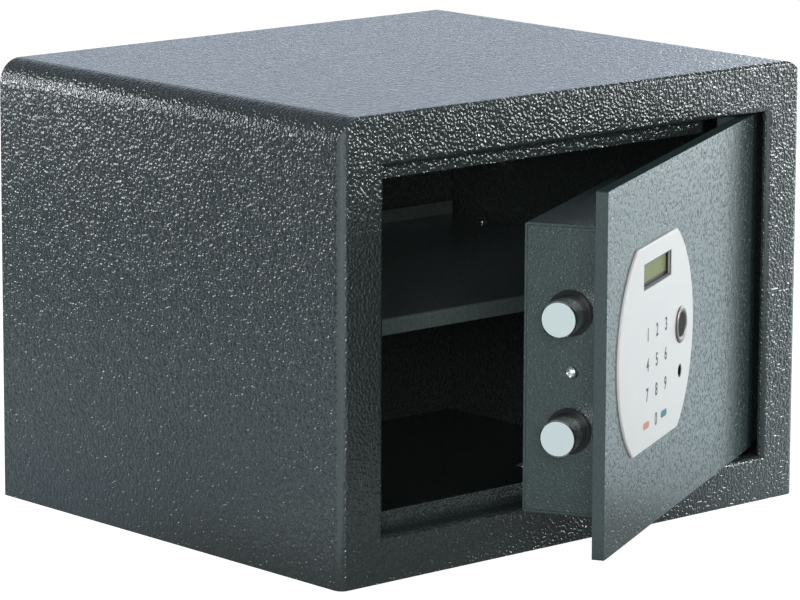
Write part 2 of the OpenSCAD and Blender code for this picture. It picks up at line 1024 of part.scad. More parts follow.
// Four posts that hold the board off the door plate
module board_posts() {
    y1 = board_y - 1.6;
    x0 = board_x0;
    z0 = board_z0;
    door_pose()
        color(steel)
            for (x = [x0 + 4, case_right - 16])
                for (z = [z0 + 4, case_top - 9])
                    union() {
                        rod_y(x, z, 3, plate_back, y1);
                        rod_y(x, z, 1.5, y1 - eps, y1 + 3.5);
                    }
}

// A quarter of a ring about [x, y], on the side that sx and sy point to
module quarter(x, y, r, t, sx, sy) {
    translate([x, y])
        intersection() {
            difference() {
                circle(r + t / 2);
                circle(r - t / 2);
            }
            scale([sx, sy])
                square(r + t);
        }
}

// Flat cable from the keypad board, through the plate, to the control board
module keypad_cable() {
    r = 2.5;
    t = 0.8;
    h = t / 2;
    x0 = panel_x + 14;
    x1 = panel_x + 22;
    x2 = board_x0 + 5;
    y0 = plate_front + 5.2;
    y1 = plate_back + 8;
    y2 = board_y - 6.6;
    door_pose()
        color([0.75, 0.75, 0.78])
            along_z(cable_z - 6, cable_z + 6)
                union() {
                    rect(x0, x1 - r, y0 - h, y0 + h);
                    quarter(x1 - r, y0 + r, r, t, 1, -1);
                    rect(x1 - h, x1 + h, y0 + r, y1 - r);
                    quarter(x1 + r, y1 - r, r, t, -1, 1);
                    rect(x1 + r, x2 - r, y1 - h, y1 + h);
                    quarter(x2 - r, y1 + r, r, t, 1, -1);
                    rect(x2 - h, x2 + h, y1 + r, y2);
                }
}

// ---------------------------------------------------------------- keypad panel

// A disc with a rounded front rim, its flat back on the door plate
module panel_disc() {
    translate([0, plate_front, 0])
        rotate([90, 0, 0])
            rotate_extrude($fn = 180)
                union() {
                    rect(0, panel_r, 0, panel_t - panel_round);
                    rect(0, panel_r - panel_round, 0, panel_t);
                    intersection() {
                        translate([panel_r - panel_round, panel_t - panel_round])
                            circle(panel_round);
                        rect(0, panel_r, 0, panel_t);
                    }
                }
}

// Barrel outline: two discs side by side, cut flat above and below
module panel_body() {
    half_flat = panel_w / 2 - panel_r;
    intersection() {
        union() {
            for (side = [-1, 1])
                translate([panel_x + side * half_flat, 0, panel_z])
                    panel_disc();
            box(panel_x - half_flat, panel_x + half_flat, panel_front, plate_front,
                panel_z - panel_r, panel_z + panel_r);
        }
        along_x(panel_x - panel_w, panel_x + panel_w)
            union() {
                rect(panel_front + panel_round, plate_front, panel_bottom, panel_top);
                round_rect(panel_front, plate_front, panel_bottom, panel_top, panel_round);
            }
    }
}

module keypad_panel() {
    wall = 1.6;
    door_pose()
        color([0.91, 0.92, 0.92])
            difference() {
                union() {
                    panel_body();
                    along_y(plate_front - eps, plate_back - 1)
                        difference() {
                            round_rect(panel_x - well_w / 2 + 0.3, panel_x + well_w / 2 - 0.3,
                                       well_z0 + 0.3, well_z1 - 0.3, 2.7);
                            round_rect(panel_x - well_w / 2 + wall, panel_x + well_w / 2 - wall,
                                       well_z0 + wall, well_z1 - wall, 1.2);
                        }
                    for (p = panel_screw_at)
                        rod_y(panel_x + p[0], panel_z + p[1], boss_r, plate_front - eps, plate_back - 2.1);
                }
                along_y(panel_front - 1, plate_front + 1)
                    round_rect(panel_x - window_w / 2, panel_x + window_w / 2,
                               window_z - window_h / 2, window_z + window_h / 2, 0.2);
                rod_y(reader_x, reader_z, reader_d / 2 - 2.5, panel_front - 1, plate_front + 1);
                rod_y(jack_x, jack_z, jack_d / 2, panel_front - 1, plate_front + 1);
                for (p = panel_screw_at)
                    rod_y(panel_x + p[0], panel_z + p[1], 1.25, plate_front - 0.4, plate_back);
            }
}

module keypad_board() {
    y0 = plate_front + 3.1;
    door_pose()
        color([0.10, 0.34, 0.18])
            box(panel_x - well_w / 2 + 2, panel_x + well_w / 2 - 2, y0, y0 + 1.6,
                well_z0 + 2, well_z1 - 2);
}

module panel_screws() {
    door_pose()
        color(steel)
            for (p = panel_screw_at)
                translate([panel_x + p[0], plate_back, panel_z + p[1]])
                    rotate([-90, 0, 0])
                        pan_screw(5.6, 2, 2.4, plate_t - 0.3);
}

// A rectangle inside the display window, given by its margin on each side
module window_rect(left, right, below, above) {
    rect(panel_x - window_w / 2 + left, panel_x + window_w / 2 - right,
         window_z - window_h / 2 + below, window_z + window_h / 2 - above);
}

// The dark frame sunk round the display
module display_bezel() {
    door_pose()
        color(black)
            difference() {
                along_y(panel_front + 0.5, lens_y + lens_t)
                    window_rect(0.1, 0.1, 0.1, 0.1);
                along_y(panel_front, lens_y)
                    window_rect(0.7, 0.7, 0.9, 0.7);
                along_y(panel_front, lens_y + lens_t + 1)
                    window_rect(0.9, 1.9, 2.6, 1);
            }
}

module display_glass() {
    door_pose()
        color([0.60, 0.63, 0.48])
            along_y(lens_y + 0.1, lens_y + lens_t)
                window_rect(0.9, 1.9, 2.6, 1);
}

// The pale ring round the reader
module reader_ring() {
    r = reader_d / 2;
    door_pose()
        color([0.80, 0.80, 0.79])
            translate([reader_x, panel_front, reader_z])
                rotate([90, 0, 0])
                    rotate_extrude()
                        polygon([[r - 3.4, -4.4], [r - 2.6, -4.4], [r - 2.6, 0], [r, 0], [r, 0.3],
                                 [r - 0.5, 0.8], [r - 1.2, 1.1], [r - 2.2, 1.1], [r - 2.9, 0.7],
                                 [r - 3.4, 0.2]]);
}

// The dark disc inside the ring
module reader_disc() {
    r = reader_d / 2 - 3.4;
    door_pose()
        color([0.20, 0.19, 0.17])
            translate([reader_x, panel_front, reader_z])
                rotate([90, 0, 0])
                    rotate_extrude()
                        polygon([[0, -4.4], [r, -4.4], [r, 0.1], [r - 0.6, 0.4], [0, 0.5]]);
}

// The socket for an outside battery
module power_jack() {
    r = jack_d / 2;
    door_pose()
        color(black)
            translate([jack_x, panel_front, jack_z])
                rotate([90, 0, 0])
                    rotate_extrude()
                        polygon([[0, -8], [r - 0.05, -8], [r - 0.05, -0.4], [r - 1, -0.4],
                                 [r - 1, -6], [1, -6], [1, -1.6], [0, -1.4]]);
}

body_shell();
floor_panel();
rear_panel();
front_frame();
door_stop();
strike_plate();
hinge_lug_top();
hinge_lug_bottom();
hinge_pins();
hinge_washers();
shelf();
shelf_rail_left();
shelf_rail_right();
shelf_screws();
door_plate();
door_knuckle_top();
door_knuckle_bottom();
lock_case();
case_cover();
case_screws();
battery_cover();
battery_cover_screw();
battery_tray();
battery_cells();
reset_button();
bolt_bush_upper();
bolt_bush_lower();
locking_bolt_upper();
locking_bolt_lower();
bolt_carriage();
bolt_screws();
carriage_rack();
rack_guide();
drive_pinion();
output_shaft();
gearbox();
motor();
motor_bracket();
limit_switches();
control_board();
board_posts();
keypad_cable();
keypad_panel();
keypad_board();
panel_screws();
display_bezel();
display_glass();
reader_ring();
reader_disc();
power_jack();
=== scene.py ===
"""Finishes, keypad print and studio for a small electronic safe, laid out as a Blender add-on.

The pieces come from the CAD frame. Three operators give them their enamel, metal and plastic,
the keypad's operator also prints its digits, and the last one sets up floor, lamps and camera.
"""

import json
import math

import bpy
import numpy as np
from bpy.props import FloatProperty, FloatVectorProperty, PointerProperty
from mathutils import Matrix, Vector


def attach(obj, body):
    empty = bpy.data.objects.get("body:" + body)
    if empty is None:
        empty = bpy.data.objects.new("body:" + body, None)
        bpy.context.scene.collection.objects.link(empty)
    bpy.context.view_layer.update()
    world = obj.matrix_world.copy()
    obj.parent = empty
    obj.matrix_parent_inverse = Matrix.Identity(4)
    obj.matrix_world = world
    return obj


bl_info = {
    "name": "Electronic Safe Finishes",
    "version": (1, 0, 0),
    "blender": (4, 5, 0),
    "location": "3D View > Sidebar > Safe",
    "description": "Hammered enamel, keypad print and studio for an electronic safe",
    "category": "Material",
}

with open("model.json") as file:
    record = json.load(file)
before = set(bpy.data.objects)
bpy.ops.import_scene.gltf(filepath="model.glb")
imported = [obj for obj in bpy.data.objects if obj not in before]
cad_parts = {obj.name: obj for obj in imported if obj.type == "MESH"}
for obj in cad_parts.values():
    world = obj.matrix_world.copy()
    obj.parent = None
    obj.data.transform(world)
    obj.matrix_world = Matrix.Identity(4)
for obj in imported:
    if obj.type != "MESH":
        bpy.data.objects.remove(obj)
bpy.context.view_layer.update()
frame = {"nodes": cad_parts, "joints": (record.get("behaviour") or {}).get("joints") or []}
NODES = frame["nodes"]
JOINTS = {joint["name"]: joint for joint in frame["joints"]}

# The hinge line of the door, and how far the door stands open
PIN = Vector(JOINTS["door_hinge"]["pos_m"])
DOOR_ANGLE = -math.radians(JOINTS["door_hinge"]["range_deg"][0])

MM = 0.001
WHITE = (1.0, 1.0, 1.0)

# The pebbles of the enamel: scale of their noise where they lie 1 m apart, and its character
PEBBLE_SCALE = 1.55
PEBBLE_DETAIL = 0.6
PEBBLE_ROUGHNESS = 0.35
# The broad waves under them, likewise, and their height against the pebbles
WAVE_SCALE = 0.5
WAVE_HEIGHT = 0.5
# Painted shade in the enamel's hollows and painted light on its pebbles: colour against its mean
PAINTED_HOLLOW_SHADE = 0.7
PAINTED_CREST_LIGHT = 1.3

# How much of a normal points along an axis, from the last of a bend to the flat beside it
BEND_TO_FLAT = (0.90, 0.99)
# The same for level sheets, and over the whole of the long bends beside them
BEND_TO_LEVEL = (0.95, 0.99)
LONG_BEND = (0.80, 0.99)
# Keeps what body_relief divides by above zero on level faces
TINY = 0.001
# The part of the relief that is left on upright folds, on level sheets and on the case's back
FOLD_RELIEF = 0.12
LEVEL_RELIEF = 0.85
CASE_BACK_RELIEF = 0.5

# Enamel on other pieces against that on the body: distance and height of its pebbles, and colour
DOOR_GRAIN, DOOR_DEPTH = 0.9, 0.7
CASE_GRAIN, CASE_DEPTH = 0.6, 0.4
# The lining's colour is the body's painted lighter: painted light for the dim inside of the safe
LINING_DEPTH, LINING_PAINTED_LIGHT = 0.4, 2.6

# Middles of the keypad's print, measured from the door plate's free edge and from the base
DIGITS_X = 88.2 * MM
ORANGE_BAR_X = 69.8 * MM
TEAL_BAR_X = 102.8 * MM
LOWEST_ROW_Z = 88.0 * MM
# How far the ink stands off the panel, and the round ends and half the straight part of a bar
INK_LIFT = 0.06 * MM
BAR_RADIUS = 1.9 * MM
BAR_HALF_STRAIGHT = 3.6 * MM
# Width of the digits against the font's own, and how much ink spreads each stroke
DIGIT_WIDTH = 0.9
INK_SPREAD = 0.022

# The black frame of the display has light painted on its sloping wall between these depths
PAINTED_LIGHT_FROM = (0.8 * MM, 1.0 * MM)
PAINTED_LIGHT_UNTIL = (1.7 * MM, 2.0 * MM)

# The fitted camera: focal length in pixels of a picture of this width, and its sensor
FOCAL_PIXELS = 4621.3
PICTURE_WIDTH = 800
SENSOR_WIDTH = 36.0

# Patches of the floor that glow only for reflected rays, as painted reflections on polished faces:
# x where a patch is dark and where it is bright, y likewise, and how bright it gets
FLOOR_GLOW_PATCHES = {
    "right": ((-0.10, 0.40), (-0.42, -0.28), 0.95),
    "front": ((0.35, 0.05), (-0.60, -0.85), 0.42),
    "left": ((-0.18, -0.30), (0.10, -0.02), 0.62),
    "behind": ((-0.80, -0.35), (-0.05, 0.10), 0.22),
}
# The right patch also begins along a line that comes forward by SLANT over SLANT_RUN
RIGHT_PATCH_EDGE = (-0.17, 0.0)
SLANT = 0.45
SLANT_RUN = 0.5
FLOOR_GREY = (0.55, 0.55, 0.55)
FLOOR_REACH = 6.0
FLOOR_SEEN = 0.9
# Tint of the floor's glow that reflected rays see near the object
FLOOR_GLOW_TINT = (0.80, 1.0, 1.06)
# The tint of the floor's reflected glow farther off, behind on the left, and where it takes over
# in x and in y
FAR_GLOW_TINT = (0.60, 0.93, 1.30)
FAR_X = (-0.20, 0.0)
FAR_Y = (-0.02, 0.10)

# The backdrop: which way it lies, the cosines over which it begins, and the strength outside
# and inside it
BACKDROP_SIDE = (0.522, 0.581, -0.625)
BACKDROP_EDGE = (0.30, 0.75)
ROOM_STRENGTH = 0.2
BACKDROP_STRENGTH = 1.08
ROOM_TINT = (0.86, 0.97, 1.12)

# Softboxes: place, the point that each is aimed at, width and height, and radiance
SOFTBOXES = {
    "front_key": ((0.86, -0.72, 0.33), (0.05, -0.1, 0.18), (0.24, 0.28), 20.0),
    "side_key": ((-0.455, 0.51, 0.32), (-0.17, 0.05, 0.18), (0.13, 0.28), 10.0),
    "right_wall": ((1.7, 0.25, 0.45), (0.0, -0.2, 0.15), (1.6, 1.1), 3.3),
    "left_fill": ((-1.6, -1.9, 0.8), (0.0, 0.0, 0.12), (1.2, 0.9), 9.0),
}
LAMP_COLOUR = (0.97, 1.0, 1.02)


# ------------------------------------------------------------------ geometry


def turn_about_pin(points, angle):
    """Turns points about the hinge line: each one's offset from it is multiplied by a rotation."""
    points = np.asarray(points, float)
    c, s = math.cos(angle), math.sin(angle)
    x, y = points[..., 0] - PIN.x, points[..., 1] - PIN.y
    return np.stack([PIN.x + c * x - s * y, PIN.y + s * x + c * y, points[..., 2]], -1)


def swing(points):
    """Turns points of the shut door to where the door stands."""
    return turn_about_pin(points, DOOR_ANGLE)


def unswing(points):
    """Turns points of the standing door back to where they lie when it is shut."""
    return turn_about_pin(points, -DOOR_ANGLE)


def vertices(mesh):
    """Places of a mesh's vertices, as an array with one row for each."""
    places = np.empty(len(mesh.vertices) * 3)
    mesh.vertices.foreach_get("co", places)
    return places.reshape(-1, 3)


def shut_corner(node):
    """Lowest x, y and z of a door piece, measured with the door shut."""
    return unswing(vertices(NODES[node].data)).min(0)


PANEL_LOW = shut_corner("keypad_panel")
PLATE_LOW = shut_corner("door_plate")


def mesh_piece(name, points, faces, body, material):
    """Makes one object from points and faces, and rides it on a body."""
    mesh = bpy.data.meshes.new(name)
    mesh.from_pydata(points.tolist(), [], faces)
    mesh.update()
    mesh.materials.append(material)
    piece = bpy.data.objects.new(name, mesh)
    bpy.context.scene.collection.objects.link(piece)
    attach(piece, body)


# ------------------------------------------------------------------ materials


class Tree:
    """A short way to write the nodes of a material or a world."""

    # Sockets of a Mix node that mixes colours
    FACTOR, FIRST_COLOUR, SECOND_COLOUR, MIXED_COLOUR = 0, 6, 7, 2

    def __init__(self, owner, shader="Principled BSDF"):
        owner.use_nodes = True
        self.owner = owner
        self.nodes = owner.node_tree.nodes
        self.links = owner.node_tree.links
        self.shader = self.nodes[shader]

    def add(self, kind, inputs=None, **settings):
        """Adds a node. An input is a value, or a socket that it is linked to."""
        node = self.nodes.new(kind)
        for key, value in settings.items():
            setattr(node, key, value)
        for key, value in (inputs or {}).items():
            self.put(value, node.inputs[key])
        return node

    def put(self, value, socket):
        """Links a socket, or sets its value, with 1 as a colour's alpha."""
        if isinstance(value, bpy.types.NodeSocket):
            self.links.new(value, socket)
        elif socket.type == "RGBA":
            socket.default_value = (*value, 1)
        else:
            socket.default_value = value

    def set(self, **values):
        """Sets or links the inputs of the shader, with _ for the spaces in their names."""
        for key, value in values.items():
            self.put(value, self.shader.inputs[key.replace("_", " ")])

    def place(self, stretch=(1, 1, 1), turn=0.0):
        """Object coordinates, turned about Z and then stretched."""
        coords = self.add("ShaderNodeTexCoord").outputs["Object"]
        turned = self.add("ShaderNodeMapping", {"Vector": coords, "Rotation": (0, 0, turn)})
        stretched = self.add("ShaderNodeMapping", {"Vector": turned.outputs[0], "Scale": stretch})
        return stretched.outputs[0]

    def facing(self, turn=0.0):
        """Sizes of the normal's X, Y and Z, turned about Z."""
        coords = self.add("ShaderNodeTexCoord").outputs["Normal"]
        inputs = {"Vector": coords, "Rotation": (0, 0, turn)}
        turned = self.add("ShaderNodeMapping", inputs, vector_type="NORMAL").outputs[0]
        sizes = self.add("ShaderNodeVectorMath", {0: turned}, operation="ABSOLUTE").outputs[0]
        return self.add("ShaderNodeSeparateXYZ", {0: sizes}).outputs

    def noise(self, vector, scale, detail=2.0, rough=0.5):
        inputs = {"Vector": vector, "Scale": scale, "Detail": detail, "Roughness": rough}
        return self.add("ShaderNodeTexNoise", inputs).outputs["Fac"]

    def math(self, operation, first, second=0.0):
        return self.add("ShaderNodeMath", {0: first, 1: second}, operation=operation).outputs[0]

    def multiply(self, first, second):
        return self.math("MULTIPLY", first, second)

    def most(self, first, second):
        return self.math("MAXIMUM", first, second)

    def span(self, value, reach, results, ease="LINEAR"):
        """Runs from the first of the results to the second while value runs over reach."""
        inputs = {0: value, 1: reach[0], 2: reach[1], 3: results[0], 4: results[1]}
        return self.add("ShaderNodeMapRange", inputs, interpolation_type=ease).outputs[0]

    def fade(self, value, dark, bright, top=1.0):
        """Runs smoothly from 0 at dark to top at bright, whichever of the two is larger."""
        if dark < bright:
            return self.span(value, (dark, bright), (0.0, top), "SMOOTHSTEP")
        return self.span(value, (bright, dark), (top, 0.0), "SMOOTHSTEP")

    def blend(self, factor, low, high):
        """Runs from colour low to colour high with the factor."""
        inputs = {self.FACTOR: factor, self.FIRST_COLOUR: low, self.SECOND_COLOUR: high}
        return self.add("ShaderNodeMix", inputs, data_type="RGBA").outputs[self.MIXED_COLOUR]

    def bump(self, height, depth):
        """Normal of a surface that is raised by height times depth metres."""
        inputs = {"Height": height, "Distance": depth, "Strength": 1.0}
        return self.add("ShaderNodeBump", inputs).outputs[0]


def shades(colour, factor):
    """The colour, made lighter or darker by a factor."""
    return tuple(factor * part for part in colour)


def body_relief(tree):
    """1 on walls and long bends, little on upright folds, nearly 1 on level sheets."""
    x, y, z = tree.facing()
    across = tree.math("ADD", tree.multiply(x, x), tree.multiply(y, y))
    length = tree.math("SQRT", tree.math("ADD", across, TINY))
    squareness = tree.math("DIVIDE", tree.most(x, y), length)
    wall = tree.span(squareness, BEND_TO_FLAT, (FOLD_RELIEF, 1.0), "SMOOTHSTEP")
    towards_level = tree.span(z, LONG_BEND, (1.0, LEVEL_RELIEF), "SMOOTHSTEP")
    level = tree.span(z, BEND_TO_LEVEL, (0.0, LEVEL_RELIEF))
    return tree.most(tree.multiply(wall, towards_level), level)


def door_relief(tree):
    """1 on the door's face and back, none on its edges."""
    return tree.span(tree.facing(-DOOR_ANGLE)[1], BEND_TO_FLAT, (0.0, 1.0), "SMOOTHSTEP")


def case_relief(tree):
    """1 on the sides, the top and the bottom of the lock case, less on its back."""
    x, y, z = tree.facing(-DOOR_ANGLE)
    return tree.span(tree.most(x, z), BEND_TO_FLAT, (CASE_BACK_RELIEF, 1.0), "SMOOTHSTEP")


def hammered_enamel(
    name,
    colour,
    grain,
    depth,
    relief_mask,
    turn=0.0,
    gloss=0.17,
    rise=(0.30, 0.68),
    ior=1.6,
    level_shine=None,
    rows=1.0,
):
    """Glossy enamel over close, irregular pebbles about grain metres apart.

    The pebbles rise over the two values of noise in rise, and rows below 1 draws them out
    upwards. Where level_shine is given, it is the specular level of the enamel's level faces.
    """
    tree = Tree(bpy.data.materials.new(name))
    place = tree.place((1, 1, rows), turn)
    pebbles = tree.noise(place, PEBBLE_SCALE / grain, PEBBLE_DETAIL, PEBBLE_ROUGHNESS)
    waves = tree.noise(place, WAVE_SCALE / grain, detail=1.0)
    raised = tree.span(pebbles, rise, (0.0, 1.0), "SMOOTHSTEP")
    height = tree.math("ADD", raised, tree.multiply(waves, WAVE_HEIGHT))
    relief = tree.multiply(relief_mask(tree), depth)
    # The pebbles' hollows get painted shade and their crests painted light, following the relief
    tree.set(
        Base_Color=tree.blend(pebbles, shades(colour, PAINTED_HOLLOW_SHADE), shades(colour, PAINTED_CREST_LIGHT)),
        Roughness=gloss,
        IOR=ior,
        Normal=tree.bump(tree.multiply(height, relief), 1.0),
    )
    if level_shine is not None:
        shine = tree.span(tree.facing()[2], BEND_TO_LEVEL, (0.5, level_shine))
        tree.set(Specular_IOR_Level=shine)
    return tree.owner


def plated_steel(name, colour, roughness=0.32):
    """Zinc plate: a fine cloudy grain in colour and roughness."""
    tree = Tree(bpy.data.materials.new(name))
    place = tree.place()
    cloud = tree.noise(place, scale=180.0, detail=4.0)
    fine = tree.noise(place, scale=2200.0)
    tree.set(
        Base_Color=tree.blend(cloud, shades(colour, 0.8), colour),
        Metallic=1.0,
        Roughness=tree.span(cloud, (0.3, 0.7), (roughness - 0.06, roughness + 0.08)),
        Normal=tree.bump(fine, 0.03 * MM),
    )
    return tree.owner


def turned_chrome(name, colour):
    """Bright plate over faint turning marks."""
    tree = Tree(bpy.data.materials.new(name))
    marks = tree.noise(tree.place(), scale=900.0, detail=3.0)
    tree.set(
        Base_Color=colour,
        Metallic=1.0,
        Roughness=tree.span(marks, (0.3, 0.7), (0.12, 0.20)),
        Normal=tree.bump(marks, 0.006 * MM),
    )
    return tree.owner


def moulded(name, colour, roughness=0.5, sheen=0.5):
    """Moulded plastic with a fine spark-eroded grain, 0.45 mm apart and 0.01 mm deep."""
    tree = Tree(bpy.data.materials.new(name))
    place = tree.place()
    fine = tree.noise(place, scale=1 / (0.45 * MM))
    cloud = tree.noise(place, scale=40.0)
    tree.set(
        Base_Color=tree.blend(cloud, shades(colour, 0.94), colour),
        Roughness=tree.span(cloud, (0.3, 0.7), (roughness - 0.04, roughness + 0.05)),
        Specular_IOR_Level=sheen,
        Normal=tree.bump(fine, 0.01 * MM),
    )
    return tree.owner


def display_lens(name):
    """Olive display under a satin lens."""
    tree = Tree(bpy.data.materials.new(name))
    cloud = tree.noise(tree.place(), scale=70.0, detail=1.0)
    tree.set(
        Base_Color=tree.blend(cloud, (0.25, 0.27, 0.115), (0.29, 0.315, 0.14)),
        Roughness=0.35,
        Specular_IOR_Level=0.05,
    )
    return tree.owner


def pocket_frame(name):
    """Black frame of the display, with light painted pale on its sloping pocket wall part of the
    way down.
    """
    tree = Tree(bpy.data.materials.new(name))
    place = tree.place(turn=-DOOR_ANGLE)
    # The panel's face in these coordinates, which are turned about the origin and not the pin
    face = PANEL_LOW[1] - unswing((0, 0, 0))[1]
    y = tree.add("ShaderNodeSeparateXYZ", {0: place}).outputs[1]
    depth = tree.math("SUBTRACT", y, face)
    # Pale band painted where light falls on the pocket wall: painted light
    pale = tree.multiply(
        tree.span(depth, PAINTED_LIGHT_FROM, (0.0, 1.0)),
        tree.span(depth, PAINTED_LIGHT_UNTIL, (1.0, 0.0)),
    )
    tree.set(
        Base_Color=tree.blend(pale, (0.02, 0.021, 0.022), (0.42, 0.40, 0.38)),
        Roughness=0.45,
        Normal=tree.bump(tree.noise(place, scale=2200.0), 0.01 * MM),
    )
    return tree.owner


def dress(material, *nodes):
    """Gives a material to the CAD pieces named."""
    for node in nodes:
        mesh = NODES[node].data
        mesh.materials.clear()
        mesh.materials.append(material)


# ------------------------------------------------------------------ settings


class BodyPaintSettings(bpy.types.PropertyGroup):
    colour: FloatVectorProperty(
        name="Enamel",
        description="Colour of the enamel on the body",
        subtype="COLOR",
        default=(0.039, 0.049, 0.046),
        min=0,
        max=1,
    )
    grain: FloatProperty(
        name="Grain",
        description="Distance between the pebbles of the enamel",
        default=2.7 * MM,
        unit="LENGTH",
        precision=5,
    )
    depth: FloatProperty(
        name="Relief",
        description="Height of the pebbles",
        default=0.34 * MM,
        unit="LENGTH",
        precision=6,
    )


class DoorPaintSettings(bpy.types.PropertyGroup):
    colour: FloatVectorProperty(
        name="Enamel",
        description="Colour of the enamel on the door",
        subtype="COLOR",
        default=(0.038, 0.058, 0.055),
        min=0,
        max=1,
    )


class LockMetalSettings(bpy.types.PropertyGroup):
    chrome: FloatVectorProperty(
        name="Bolts",
        description="Colour of the plate on the locking bolts",
        subtype="COLOR",
        default=(0.72, 0.72, 0.69),
        min=0,
        max=1,
    )
    zinc: FloatVectorProperty(
        name="Works",
        description="Colour of the plated steel in the lock",
        subtype="COLOR",
        default=(0.62, 0.64, 0.65),
        min=0,
        max=1,
    )
    bushes: FloatVectorProperty(
        name="Bushes",
        description="Colour of the plastic round the bolts",
        subtype="COLOR",
        default=(0.012, 0.013, 0.014),
        min=0,
        max=1,
    )


class KeypadSettings(bpy.types.PropertyGroup):
    colour: FloatVectorProperty(
        name="Panel",
        description="Colour of the keypad panel",
        subtype="COLOR",
        default=(0.80, 0.78, 0.745),
        min=0,
        max=1,
    )
    digit_ink: FloatVectorProperty(
        name="Digits",
        description="Colour of the printed digits",
        subtype="COLOR",
        default=(0.03, 0.03, 0.033),
        min=0,
        max=1,
    )
    left_ink: FloatVectorProperty(
        name="Left bar",
        description="Colour of the bar to the left of the zero",
        subtype="COLOR",
        default=(0.72, 0.25, 0.16),
        min=0,
        max=1,
    )
    right_ink: FloatVectorProperty(
        name="Right bar",
        description="Colour of the bar to the right of the zero",
        subtype="COLOR",
        default=(0.02, 0.20, 0.23),
        min=0,
        max=1,
    )
    digit_height: FloatProperty(
        name="Digit height",
        description="Height of the printed digits",
        default=7.3 * MM,
        unit="LENGTH",
        precision=4,
    )
    column_pitch: FloatProperty(
        name="Column pitch",
        description="Distance between the columns of digits",
        default=16.9 * MM,
        unit="LENGTH",
        precision=4,
    )
    row_pitch: FloatProperty(
        name="Row pitch",
        description="Distance between the rows of digits",
        default=16.35 * MM,
        unit="LENGTH",
        precision=4,
    )


class StageSettings(bpy.types.PropertyGroup):
    camera_place: FloatVectorProperty(
        name="Camera",
        description="Place of the camera",
        subtype="TRANSLATION",
        default=(-1.7471, -1.9472, 0.6256),
    )
    azimuth: FloatProperty(
        name="Azimuth",
        description="How far the camera stands round to the left of the front",
        default=math.radians(41.889),
        subtype="ANGLE",
    )
    elevation: FloatProperty(
        name="Elevation",
        description="How far the camera looks down",
        default=math.radians(11.047),
        subtype="ANGLE",
    )
    roll: FloatProperty(
        name="Roll",
        description="Turn of the camera about its own axis",
        default=math.radians(0.244),
        subtype="ANGLE",
    )
    lens: FloatProperty(
        name="Lens",
        description="Focal length in millimetres on a 36 mm sensor",
        default=FOCAL_PIXELS * SENSOR_WIDTH / PICTURE_WIDTH,
        unit="CAMERA",
    )


# ------------------------------------------------------------------ operators


class SAFE_OT_body_paint(bpy.types.Operator):
    """Hammered enamel on the body's sheets and stop, and on the shelf a copy painted paler to
    stand in for light
    """

    bl_idname = "safe.body_paint"
    bl_label = "Body enamel"

    def execute(self, context):
        paint = context.scene.safe_body_paint
        colour = tuple(paint.colour)
        enamel = hammered_enamel(
            "body_enamel",
            colour,
            paint.grain,
            paint.depth,
            body_relief,
            ior=1.75,
        )
        dress(
            enamel,
            "body_shell",
            "floor_panel",
            "rear_panel",
            "front_frame",
            "door_stop",
            "strike_plate",
        )
        # The shelf and rails get the body's enamel painted lighter, as painted light in the dim
        # inside
        painted_light_lining = hammered_enamel(
            "inner_enamel_painted_lighter",
            shades(colour, LINING_PAINTED_LIGHT),
            paint.grain,
            LINING_DEPTH * paint.depth,
            body_relief,
        )
        dress(painted_light_lining, "shelf", "shelf_rail_left", "shelf_rail_right")
        return {"FINISHED"}


class SAFE_OT_door_paint(bpy.types.Operator):
    """Hammered enamel that has run a little down the door, and a finer one on its lock case"""

    bl_idname = "safe.door_paint"
    bl_label = "Door enamel"

    def execute(self, context):
        body = context.scene.safe_body_paint
        colour = tuple(context.scene.safe_door_paint.colour)
        enamel = hammered_enamel(
            "door_enamel",
            colour,
            DOOR_GRAIN * body.grain,
            DOOR_DEPTH * body.depth,
            door_relief,
            turn=-DOOR_ANGLE,
            rise=(0.28, 0.44),
            level_shine=0.0,
            rows=0.7,
        )
        dress(enamel, "door_plate", "door_knuckle_top", "door_knuckle_bottom")
        case = hammered_enamel(
            "case_enamel",
            colour,
            CASE_GRAIN * body.grain,
            CASE_DEPTH * body.depth,
            case_relief,
            turn=-DOOR_ANGLE,
            gloss=0.28,
        )
        dress(case, "lock_case", "case_cover", "battery_cover")
        return {"FINISHED"}


